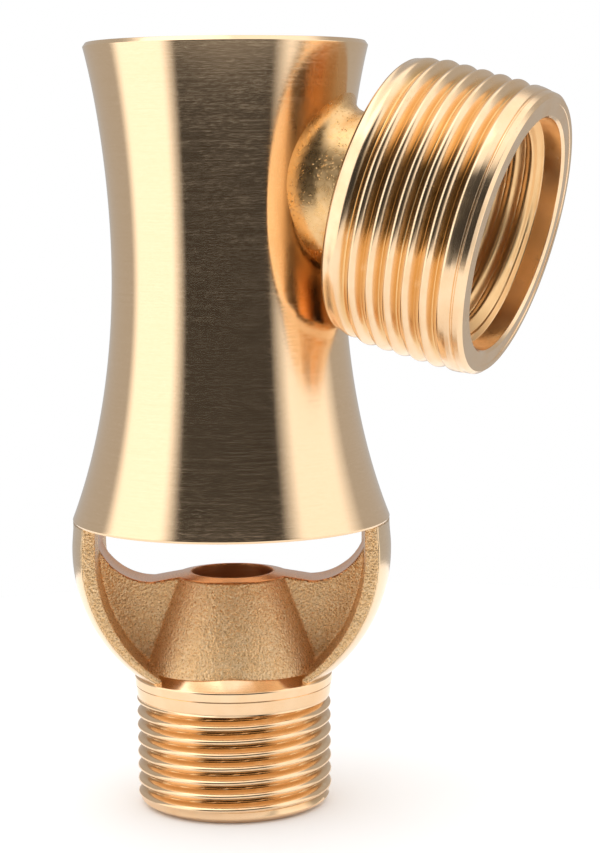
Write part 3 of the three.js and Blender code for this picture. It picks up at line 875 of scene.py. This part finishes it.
collar_pts = (
    [(9.9, 0.0, 0.25), (11.6, 0.0, 0.6), (12.75, 0.75, 0.7), (13.16, 1.7, 0.0)]
    + [(13.2, v, 0) for v in np.arange(1.78, 14.7, 0.075)]
    + [(13.02, 14.85, 0.1), (13.12, 15.05, 0.1), (13.3, 16.55, 0.03), (13.22, 16.62, 0.02), (13.38, 16.72, 0.03)]
    + [(13.44, 17.85, 0.3), (12.15, 19.05, 0.12), (11.6, 19.0, 0.0), (9.0, 17.6, 0), (5.6, 17.4, 0), (5.6, 17.0, 0), (9.9, 13.6, 0.2)]
)
collar = lathe("outlet_yoke_thread", collar_pts, M_THREAD, BODY, 192, True, 5, 0.12, None, out_thread, 45, out_thread_zone)
settle(collar, "body", "cast_brass", "outlet_yoke")

# ------------------------------------------------------------------ swivel inlet collar
GROOVES = [25.7 + 2.4 * k for k in range(6)]
RING_REAR, RING_FACE = 22.35, 41.75


def ring_profile():
    pts = [(10.1, RING_REAR, 0.15), (17.35, RING_REAR, 0.35), (17.9, 22.65, 0.3)]
    # outside: plain band, five round ridges, plain band
    out = []
    for v in np.arange(22.95, 38.9, 0.09):
        k = sum(g <= v for g in GROOVES)
        if k == 0:
            q = np.clip((GROOVES[0] - v) / 1.15, 0, 1)
            top = 18.15 + 0.42 * smooth(v, 22.9, 24.6)
        elif k == len(GROOVES):
            q = np.clip((v - GROOVES[-1]) / 1.15, 0, 1)
            top = 18.78
        else:
            q = 1 - abs(2 * (v - GROOVES[k - 1]) / 2.4 - 1)
            top = 18.92
        h = (0.5 - 0.5 * math.cos(math.pi * q)) ** 0.7
        out.append((17.78 + (top - 17.78) * h, v, 0))
    pts += out
    pts += [(18.72, 39.6, 0.2), (18.6, 40.2, 0.06), (18.38, 40.32, 0.04), (18.38, 40.46, 0.04), (18.52, 40.6, 0.05), (18.42, 41.3, 0.15), (17.95, RING_FACE, 0.12)]
    # mouth face with a fine turned step, then the counterbore
    pts += [(17.25, RING_FACE, 0.03), (17.2, 41.67, 0.02), (15.6, 41.67, 0.06), (15.24, 41.35, 0.08), (15.12, 38.95, 0.2)]
    pts += [(14.45, v, 0) for v in np.arange(38.55, 31.2, -0.09)]
    pts += [(13.3, 30.85, 0.1), (13.3, 24.8, 0.15), (10.1, 24.8, 0.15)]
    return pts


def ring_zone(v):
    r = np.hypot(v[:, 0], v[:, 1])
    out = smooth(18.75 - r, 0.25, 0.85) * (r > 17.6) * (v[:, 2] > 24.8) * (v[:, 2] < 39)
    # painted shade mask: the grooves between the ridges, and the threaded bore inside, are darkened
    return {"groove": np.maximum(out, (r < 15.2) * (v[:, 2] < 39.0) * 0.8), "bore": (r < 15.2) * (v[:, 2] < 39.0) * 1.0}


def in_thread(R, Z, th):
    ph = Z / 2.25 - th[None, :] / TAU + 0.3
    on = smooth(Z, 31.15, 31.9) * (1 - smooth(Z, 38.0, 38.6)) * (R < 14.6) * (R > 14.3)
    return R - on * 1.0 * bump_profile(ph), Z


ring = lathe("swivel_collar_shell", ring_profile(), M_POLISHED, PORT, 224, True, 5, 0.12, None, in_thread, 45, ring_zone)
settle(ring, "collar", "polished_brass", "swivel_collar")

# ------------------------------------------------------------------ inlet neck
BOSS = PORT @ Matrix.Diagonal((8.4 / 9.8, 1, 1, 1))
journal = lathe(
    "inlet_neck_tube",
    [(5.0, 20.6, 0), (9.8, 20.6, 0.1), (9.8, 25.95, 0.25), (9.95, 26.15, 0.1), (12.7, 26.2, 0.25), (12.7, 28.0, 0.25), (7.0, 28.0, 0.2), (5.0, 25.5, 0.3)],
    M_NECK, PORT, 128,
)
_PM = np.array(BODY.inverted() @ PORT)


def boss_fn(x, y, s):
    px, py, pz = (_PM[k, 0] * x + _PM[k, 1] * y + _PM[k, 2] * s + _PM[k, 3] * 1000.0 for k in range(3))
    barrel = np.hypot(px, py) - body_radius(np.clip(pz, 50, 102.3))
    oval = (np.sqrt((x * 9.8 / 8.4) ** 2 + y * y) - 9.8) * 0.93
    boss = smax(oval, s - 21.0, 0.4)
    flow = smin(boss, barrel, 2.4) + 0.06
    f = smax(flow, -0.9 - barrel, 0.05)
    f = smax(f, np.hypot(x, y) - 14.2, 0.05)
    return smax(smax(f, pz - 102.0, 0.05), 10.4 - s, 0.05)


neck = sdf_piece("boss", boss_fn, (-16.6, -16.6, 9.5), (16.6, 16.6, 21.9), 0.27, M_NECK, PORT, None, 60)
spig = lathe("spigot", [(4.6, 9, 0), (6.9, 9, 0.1), (6.9, 17.5, 0), (4.6, 17.5, 0)], M_NECK, PORT, 128)
boolean(spig, rod(11.9, 70, 110, BODY, 96))
boolean(journal, neck, "UNION")
boolean(journal, spig, "UNION")
boolean(journal, rod(5.0, 5, 26, PORT, 96))
neck = journal
settle(neck, "body", "turned_brass", "inlet_neck")

slip = lathe("collar_slip_washer_disc", [(10.1, 25.1, 0.12), (12.9, 25.1, 0.12), (12.9, 25.9, 0.12), (10.1, 25.9, 0.12)], M_PTFE, PORT, 96)
settle(slip, "body", "ptfe", "collar_slip_washer")
hose = lathe(
    "hose_washer_ring",
    [(8.2, 28.3, 0.25), (12.8, 28.3, 0.35), (12.95, 29.4, 0.5), (12.8, 30.6, 0.35), (11.6, 30.6, 0.1), (11.35, 30.42, 0.1), (11.1, 30.6, 0.1),
     (10.2, 30.6, 0.1), (9.95, 30.42, 0.1), (9.7, 30.6, 0.1), (8.2, 30.6, 0.35)],
    M_WASHER, PORT, 128,
)
settle(hose, "body", "washer_rubber", "hose_washer")

# strainer: rim and a woven wire dome
rim = lathe("strainer_rim", [(6.3, 28.3, 0.1), (7.9, 28.3, 0.12), (7.9, 29.1, 0.2), (6.6, 29.15, 0.2), (6.1, 28.95, 0.15)], M_SCREEN, PORT, 96)
settle(rim, "body", "screen_steel", "strainer_screen")
DOME_R, WIRE, GRID = 6.35, 0.13, 0.78


def dome(x, y):
    q = np.clip((x * x + y * y) / DOME_R**2, 0, 1)
    return 28.75 + 4.2 * np.sqrt(np.clip(1 - q, 0, 1)) ** 0.9


vs, fs, base = [], [], 0
_n = int(DOME_R / GRID)
for way in (0, 1):
    for i in range(-_n, _n + 1):
        c = i * GRID
        half = math.sqrt(max(DOME_R**2 - c * c, 0)) - 0.02
        if half < 0.8:
            continue
        # points evenly spaced along the arc
        t = np.linspace(-math.pi / 2, math.pi / 2, 74)
        u = half * np.sin(t)
        w = 0.11 * np.cos(math.pi * (u / GRID + i + way))
        zz = dome(u, np.full_like(u, c)) + w
        pth = np.stack([u, np.full_like(u, c), zz], 1) if way == 0 else np.stack([np.full_like(u, c), u, zz], 1)
        v, f = tube(pth, WIRE, 7)
        vs.append(v)
        fs += [tuple(k + base for k in q) for q in f]
        base += len(v)
screen = make("strainer_mesh", np.concatenate(vs), fs, M_SCREEN, PORT, 60)
settle(screen, "body", "screen_steel", "strainer_screen")

# ------------------------------------------------------------------ top cap and adjuster
def hexd(x, y, af, turn=0.0):
    d = np.full(np.shape(x), -1e9)
    for i in range(3):
        a = turn + i * math.pi / 3
        d = np.maximum(d, np.abs(x * math.cos(a) + y * math.sin(a)) - af / 2)
    return d


def cap_fn(x, y, z):
    r = np.sqrt(x * x + y * y)
    disc = smax(r - 14.1 + 0.0, np.maximum(z - 97.9, 92.9 - z), 0.25)
    skirt = smax(smax(r - 9.2, 7.2 - r, 0.15), np.maximum(z - 94.2, 88.6 - z), 0.2)
    s = np.minimum(disc, skirt)
    s = smax(s, -np.maximum(r - 7.2, z - 93.9), 0.15)
    s = smax(s, 3.25 - r, 0.2)
    s = smax(s, -np.maximum(np.abs(z - 95.4) - 1.0, 12.4 - r), 0.1)
    s = smax(s, -np.maximum(np.abs(z - 95.6) - 0.7, r - 4.7), 0.1)
    for q in (-10, 10):
        s = smax(s, -np.maximum(np.sqrt((x - q) ** 2 + y * y) - 1.3, 96.2 - z), 0.2)
    # shallow turned ring on the top
    s = smax(s, 0.35 - np.sqrt((r - 12.2) ** 2 + (z - 98.05) ** 2), 0.1)
    return s


cap = sdf_piece("top_cap_disc", cap_fn, (-14.2, -14.2, 88.4), (14.2, 14.2, 98.1), 0.22, M_TURNED, BODY)
settle(cap, "body", "turned_brass", "top_cap")


def nut_fn(z0, z1, af, hole, cham=0.6):
    def fn(x, y, z):
        r = np.sqrt(x * x + y * y)
        c = af / math.sqrt(3)
        h = hexd(x, y, af, 0)
        mid, half = (z0 + z1) / 2, (z1 - z0) / 2
        cone = (r - (c + 0.05) + (np.abs(z - mid) - half + cham) * 1.7) * 0.5
        s = smax(smax(h, np.abs(z - mid) - half, 0.12), cone, 0.1)
        ph = z / 0.8 - np.arctan2(y, x) / TAU
        bore = hole + 0.12 * np.cos(TAU * ph)
        s = smax(s, bore - r, 0.08)
        inner = hole + 0.5 - (half - np.abs(z - mid)) * 1.0
        return smax(s, (inner - r) * 0.7, 0.08)

    return fn


nut = sdf_piece("lock_nut_hex", nut_fn(98.2, 101.0, 10.0, 3.35), (-6, -6, 98.0), (6, 6, 101.2), 0.14, M_STEEL)
settle(nut, "body", "stainless", "lock_nut")


def screw_fn(x, y, z):
    r = np.sqrt(x * x + y * y)
    ph = z / 0.8 - np.arctan2(y, x) / TAU
    body = 2.86 + 0.14 * np.cos(TAU * ph) * (z > 91.4)
    shank = smax(r - body, np.maximum(z - 101.6, 90.5 - z), 0.25)
    shank = smax(shank, (r - 2.6 + (z - 101.3)) * 0.7, 0.1)
    head = smax(r - 4.4, np.abs(z - 90.5) - 0.5, 0.15)
    s = smin(shank, head, 0.2)
    s = smax(s, -np.maximum(hexd(x, y, 3.0), 99.4 - z), 0.1)
    lead = (1.9 - (101.6 - z)) - r
    return smax(s, -np.maximum(-lead, 101.0 - z) * 0.7, 0.05)


screw = sdf_piece("adjusting_screw_stud", screw_fn, (-4.5, -4.5, 89.8), (4.5, 4.5, 101.8), 0.14, M_STEEL)
settle(screw, "adjuster", "stainless", "adjusting_screw")


def o_ring(name, node, mean, wire, z, body="body"):
    a = np.arange(20) * TAU / 20
    pts = [(mean + wire * math.cos(t), z + wire * math.sin(t), 0) for t in a]
    ob = lathe(name, pts, M_RUBBER, BODY, 96, True)
    return settle(ob, body, "seal_rubber", node)


o_ring("cap_seal", "cap_o_ring", 13.4, 0.85, 95.4)
o_ring("screw_seal", "screw_o_ring", 3.98, 0.55, 95.6)
o_ring("piston_seal", "piston_o_ring", 13.4, 0.98, 50.2, "piston")
o_ring("guide_plate_seal", "guide_plate_o_ring", 11.6, 0.75, 75.0)
o_ring("stem_seal", "stem_o_ring", 5.1, 0.7, 75.0)
o_ring("nozzle_seal", "nozzle_o_ring", 13.7, 0.65, 45.55)

# ------------------------------------------------------------------ seat group
carrier = lathe(
    "seat_carrier_cup",
    [(0, 88.9, 0), (1.6, 88.9, 0.1), (1.6, 86.7, 0.15), (5.5, 86.7, 0.15), (5.5, 84.6, 0.15), (6.9, 84.6, 0.3), (6.9, 92.4, 0.3),
     (4.7, 92.4, 0.15), (4.7, 92.1, 0.05), (5.5, 92.1, 0.1), (5.5, 91.2, 0.1), (4.7, 91.2, 0.1), (4.7, 89.7, 0.15), (0, 89.7, 0)],
    M_TURNED, BODY, 96,
)
settle(carrier, "seat", "turned_brass", "seat_carrier")
seat = lathe("seat_disc_pad", [(2.5, 84.0, 0.1), (5.2, 84.0, 0.25), (5.2, 86.4, 0.2), (1.6, 86.4, 0.1), (1.6, 85.0, 0.1)], M_RUBBER, BODY, 96)
settle(seat, "seat", "seal_rubber", "seat_disc")


def seat_screw_fn(x, y, z):
    r = np.sqrt(x * x + y * y)
    head = smax(smax(r - 2.15, (r - 2.15 + (z - 84.45) * 1.0) * 0.7, 0.05), np.maximum(84.2 - z, z - 85.6), 0.08)
    ph = z / 0.5 - np.arctan2(y, x) / TAU
    shank = smax(r - (1.24 + 0.09 * np.cos(TAU * ph) * (z > 86)), np.maximum(84.6 - z, z - 88.6), 0.1)
    s = smin(head, shank, 0.1)
    return smax(s, -np.maximum(np.abs(y) - 0.3, z - 84.75), 0.05)


sscrew = sdf_piece("seat_screw_countersunk", seat_screw_fn, (-2.3, -2.3, 84.0), (2.3, 2.3, 88.8), 0.08, M_STEEL)
settle(sscrew, "seat", "stainless", "seat_screw")


def c_ring_fn(rin, rout, z0, z1, gap, lug=0.0):
    def fn(x, y, z):
        r = np.sqrt(x * x + y * y)
        d = smax(np.abs(r - (rin + rout) / 2) - (rout - rin) / 2, np.abs(z - (z0 + z1) / 2) - (z1 - z0) / 2, 0.12)
        return smax(d, gap - np.maximum(np.abs(x), -y * 10), 0.12)

    return fn


clip1 = sdf_piece("carrier_retaining_clip", c_ring_fn(3.45, 5.3, 91.35, 91.95, 1.4), (-5.5, -5.5, 91.2), (5.5, 5.5, 92.1), 0.1, M_WIRE)
settle(clip1, "seat", "spring_steel", "carrier_retaining_ring")

# ------------------------------------------------------------------ piston group
stem = lathe(
    "piston_stem_tube",
    [(2.3, 44.8, 0.1), (3.4, 44.8, 0.25), (3.4, 53.3, 0.1), (5.6, 53.3, 0.2), (5.6, 54.6, 0.25), (4.0, 54.6, 0.3),
     (4.0, 80.6, 0.2), (3.4, 81.5, 0.12), (2.9, 81.5, 0.12), (2.3, 80.9, 0.15)],
    M_STEEL, BODY, 96,
)
settle(stem, "piston", "stainless", "piston_stem")
head = lathe(
    "piston_head_disc",
    [(3.7, 47.4, 0.2), (6.5, 47.4, 0.3), (7.2, 48.2, 0.4), (11.2, 48.2, 0.4), (11.9, 47.4, 0.3), (14.3, 47.4, 0.4), (14.3, 49.0, 0.15),
     (12.2, 49.0, 0.2), (12.2, 51.4, 0.2), (14.3, 51.4, 0.15), (14.3, 53.0, 0.35), (3.7, 53.0, 0.2)],
    M_ACETAL, BODY, 128,
)
settle(head, "piston", "acetal", "piston_head")
snut = sdf_piece("stem_nut_hex", nut_fn(45.3, 47.1, 10.0, 3.7, 0.4), (-6, -6, 45.1), (6, 6, 47.3), 0.14, M_STEEL)
settle(snut, "piston", "stainless", "stem_nut")
swash = lathe("spring_washer_plate", [(6.0, 53.3, 0.12), (12.1, 53.3, 0.12), (12.1, 54.1, 0.12), (6.0, 54.1, 0.12)], M_STEEL, BODY, 96)
settle(swash, "piston", "stainless", "spring_washer")

_t = np.linspace(0, 1, 5 * 56 + 1)
_a = _t * 5 * TAU
_zz = 55.72 + (71.38 - 55.72) * np.clip(_t, 0, 1)
# closed end coils lie nearly flat
_e = 0.16
_lin = np.interp(_t, [0, _e, 1 - _e, 1], [0, 0.09, 0.91, 1])
_zz = 55.72 + (71.38 - 55.72) * _lin
v, f = tube(np.stack([9.7 * np.cos(_a), 9.7 * np.sin(_a), _zz], 1), 1.25, 14)
v[:, 2] = np.clip(v[:, 2], 54.45, 72.65)  # ground ends
spring = make("main_spring_coil", v, f, M_WIRE, BODY, 60)
settle(spring, "body", "spring_steel", "main_spring")
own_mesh(spring)

# ------------------------------------------------------------------ stem guide
guide = lathe(
    "guide_plate_disc",
    [(4.3, 73.0, 0.2), (12.3, 73.0, 0.25), (12.3, 74.1, 0.08), (10.7, 74.1, 0.15), (10.7, 75.9, 0.15), (12.3, 75.9, 0.08), (12.3, 77.0, 0.25),
     (4.3, 77.0, 0.2), (4.3, 75.9, 0.06), (6.0, 75.9, 0.12), (6.0, 74.1, 0.12), (4.3, 74.1, 0.06)],
    M_TURNED, BODY, 128,
)
settle(guide, "body", "turned_brass", "guide_plate")
clip2 = sdf_piece("guide_plate_clip", c_ring_fn(11.7, 13.35, 71.6, 72.6, 3.2), (-13.6, -13.6, 71.4), (13.6, 13.6, 72.8), 0.16, M_WIRE)
settle(clip2, "body", "spring_steel", "guide_plate_circlip")

# ------------------------------------------------------------------ outlet nozzle
nozzle = lathe(
    "nozzle_plate_disc",
    [(3.0, 38.4, 0.1), (3.9, 38.4, 0.3), (4.4, 38.9, 0.3), (5.2, 41.2, 0.5), (15.3, 41.2, 0.2), (15.3, 42.7, 0.1), (15.9, 42.7, 0.1), (15.9, 44.1, 0.1),
     (14.3, 44.1, 0.1), (14.3, 44.8, 0.08), (12.9, 44.8, 0.15), (12.9, 46.3, 0.15), (14.3, 46.3, 0.08), (14.3, 47.1, 0.15), (10.6, 47.1, 0.2),
     (10.6, 43.4, 0.4), (6.0, 43.4, 0.3), (3.0, 41.4, 0.4)],
    M_TURNED, BODY, 128,
)
settle(nozzle, "body", "turned_brass", "nozzle_plate")

# ------------------------------------------------------------------ stage and light
fv, ff = [], []
_seg = 96
fv.append((0, 0, 0))
_rad = [40, 90, 160]
for rr in _rad:
    fv += [(rr * math.cos(a), rr * math.sin(a), 0) for a in np.arange(_seg) * TAU / _seg]
for k in range(_seg):
    ff.append((0, 1 + k, 1 + (k + 1) % _seg))
    for q in range(len(_rad) - 1):
        a0, b0 = 1 + q * _seg, 1 + (q + 1) * _seg
        ff.append((a0 + k, b0 + k, b0 + (k + 1) % _seg, a0 + (k + 1) % _seg))
fm = Mat("floor_white", (0.92, 0.92, 0.92), 0.6, 0.0)
fm.bsdf.inputs["Specular IOR Level"].default_value = 0.0
_fme = bpy.data.meshes.new("floor")
_fme.from_pydata([(x * 0.001, y * 0.001, z) for x, y, z in fv], [], ff)
_fme.materials.append(fm.m)
floor = bpy.data.objects.new("floor", _fme)
scene.collection.objects.link(floor)

world = bpy.data.worlds.new("studio")
scene.world = world
world.use_nodes = True
wt = world.node_tree
wt.nodes.clear()


def wn(kind, **kw):
    n = wt.nodes.new(kind)
    for k, v in kw.items():
        setattr(n, k, v)
    return n


def wmath(op, a, b=0.0, clamp=False):
    n = wn("ShaderNodeMath", operation=op, use_clamp=clamp)
    for s, v in zip(n.inputs, (a, b)):
        if isinstance(v, (int, float)):
            s.default_value = v
        else:
            wt.links.new(v, s)
    return n.outputs[0]


tc = wn("ShaderNodeTexCoord")
sep = wn("ShaderNodeSeparateXYZ")
wt.links.new(tc.outputs["Generated"], sep.inputs[0])
az = wmath("ARCTAN2", sep.outputs[0], wmath("MULTIPLY", sep.outputs[1], -1.0))
u = wmath("ADD", wmath("DIVIDE", az, TAU), 0.5)
ramp = wn("ShaderNodeValToRGB")
wt.links.new(u, ramp.inputs[0])
# softboxes left and right of the camera, a dark room behind it, pale card further round
SIDES = [  # direction round the object, brightness: tall soft box left and right, dark flag in front, dim room
    (-180, 0.5), (-106, 0.5), (-96, 1.5), (-54, 1.5), (-40, 0.05), (41, 0.05), (58, 1.3), (96, 1.3), (114, 0.5), (180, 0.5),
]
cr = ramp.color_ramp
cr.interpolation = "LINEAR"
while len(cr.elements) > 1:
    cr.elements.remove(cr.elements[0])
for n, (deg, v) in enumerate(SIDES):
    el_ = cr.elements[0] if n == 0 else cr.elements.new((deg + 180) / 360)
    el_.position = (deg + 180) / 360
    el_.color = (v / 4, v / 4, v / 4, 1)
side = wn("ShaderNodeVectorMath", operation="SCALE")
wt.links.new(ramp.outputs[0], side.inputs[0])
side.inputs["Scale"].default_value = 4.0
el = wmath("MULTIPLY", wmath("ARCSINE", sep.outputs[2]), 180 / math.pi)


def wrange(x, a, b):
    n = wn("ShaderNodeMapRange", interpolation_type="SMOOTHSTEP")
    wt.links.new(x, n.inputs["Value"])
    n.inputs["From Min"].default_value = a
    n.inputs["From Max"].default_value = b
    return n.outputs[0]


def wmix(f, a, b, mode="MIX"):
    n = wn("ShaderNodeMix", data_type="RGBA", blend_type=mode)
    for s, v in ((n.inputs[0], f), (n.inputs[6], a), (n.inputs[7], b)):
        if isinstance(v, tuple):
            s.default_value = (*v, 1)
        elif isinstance(v, (int, float)):
            s.default_value = v
        else:
            wt.links.new(v, s)
    return n.outputs[2]


# a pale table edge below, bright cloth above
low = wmix(wrange(el, -17, -30), side.outputs[0], (0.3, 0.3, 0.3), "LIGHTEN")
low = wmix(wrange(el, -38, -62), low, (1.0, 1.0, 1.0))
room = wmix(wrange(el, 40, 56), low, (1.35, 1.35, 1.35))
lp = wn("ShaderNodeLightPath")
lit = wmix(lp.outputs["Is Diffuse Ray"], room, (1.3, 1.3, 1.3))  # the plain white surround that lights the floor
lit = wmix(lp.outputs["Is Camera Ray"], lit, (1.0, 1.0, 1.0))
bg = wn("ShaderNodeBackground")
wt.links.new(lit, bg.inputs["Color"])
wo = wn("ShaderNodeOutputWorld")
wt.links.new(bg.outputs[0], wo.inputs[0])


def softbox(name, loc, size, watts):
    d = bpy.data.lights.new(name, "AREA")
    d.shape = "RECTANGLE"
    d.size, d.size_y = size
    d.energy = watts
    o = bpy.data.objects.new(name, d)
    scene.collection.objects.link(o)
    o.location = loc
    o.rotation_mode = "QUATERNION"
    o.rotation_quaternion = (Vector((AX, AY, 0.05)) - Vector(loc)).to_track_quat("-Z", "Y")
    o.visible_camera = False
    return o


softbox("softbox_top", (AX - 0.25, AY - 0.1, 0.75), (0.5, 0.5), 0.5)
